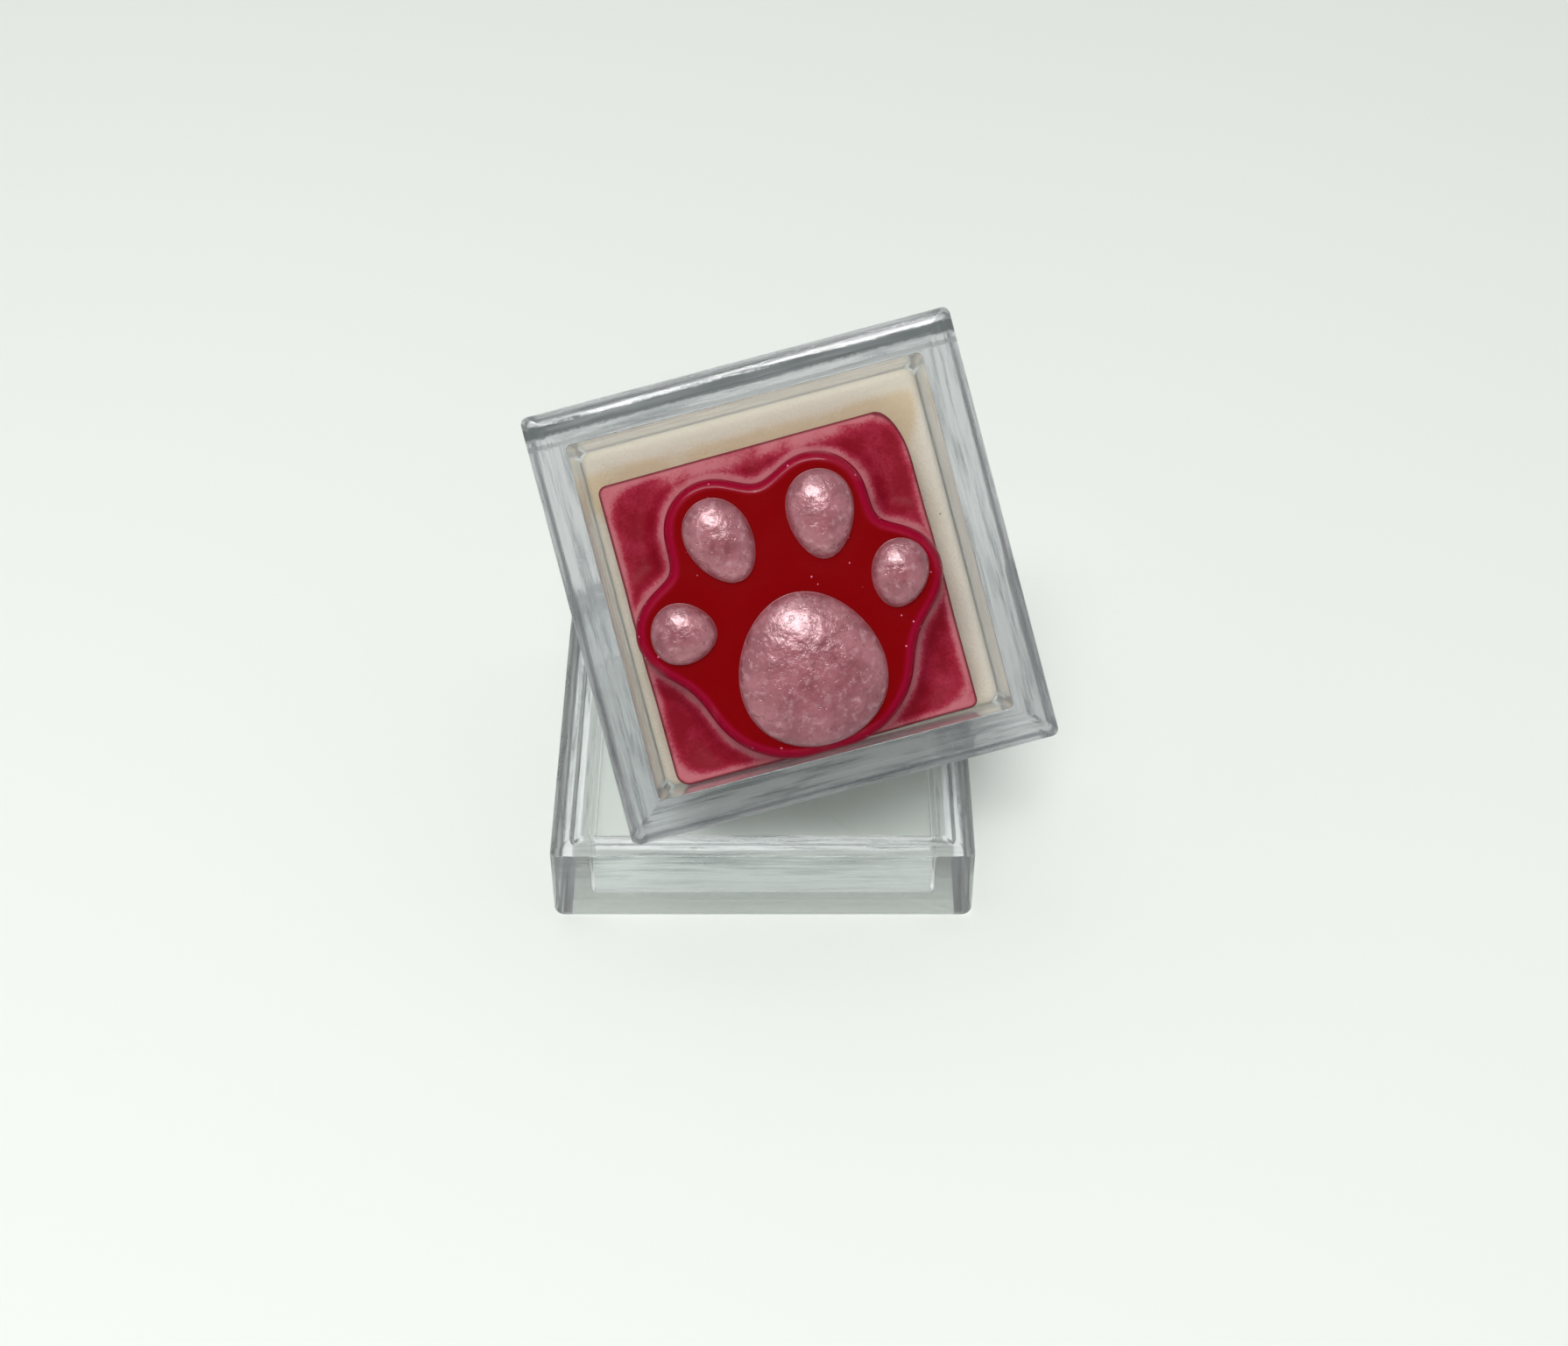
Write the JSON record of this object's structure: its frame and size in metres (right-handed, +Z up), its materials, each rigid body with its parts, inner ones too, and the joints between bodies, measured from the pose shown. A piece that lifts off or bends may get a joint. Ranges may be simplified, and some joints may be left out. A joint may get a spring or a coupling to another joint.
{
  "type": "ink pad",
  "caption": "Clear two-part square case, its foam-lined tray leaning in the upturned cover, holding a loose red square pad block with a raised paw shape and domed pearl beans.",
  "frame": {"origin": "centre of the cover's flat underside, on the table", "axes": "+Z up; the tray's open side and the pad face -Y and up; +X to the right as the pad is seen"},
  "size_m": [0.0304, 0.0287, 0.033],
  "materials": {
    "clear_plastic": "clear moulded styrene, glossy",
    "foam": "cream closed-cell foam, matte",
    "red_resin": "cast resin, satin and slightly frosted",
    "red_gel": "deep red, wet gloss",
    "pearl_pink": "pearl, mica-filled, glossy"
  },
  "bodies": {
    "cover": {"cover": "clear_plastic"},
    "tray": {"tray": "clear_plastic"},
    "liner": {"liner": "foam"},
    "pad": {"pad_block": "red_resin", "paw_layer": "red_gel", "palm_bean": "pearl_pink", "left_outer_toe": "pearl_pink", "left_inner_toe": "pearl_pink", "right_inner_toe": "pearl_pink", "right_outer_toe": "pearl_pink"}
  },
  "joints": [
    {"name": "tray_lift", "type": "slide", "parent": "cover", "child": "tray", "axis": [0, 0, 1], "range_m": [0, 0.03]},
    {"name": "liner_pull", "type": "slide", "parent": "tray", "child": "liner", "axis": [0, -0.766, 0.6428], "range_m": [0, 0.016]},
    {"name": "pad_lift", "type": "slide", "parent": "liner", "child": "pad", "axis": [0, -0.766, 0.6428], "range_m": [0, 0.014]}
  ]
}
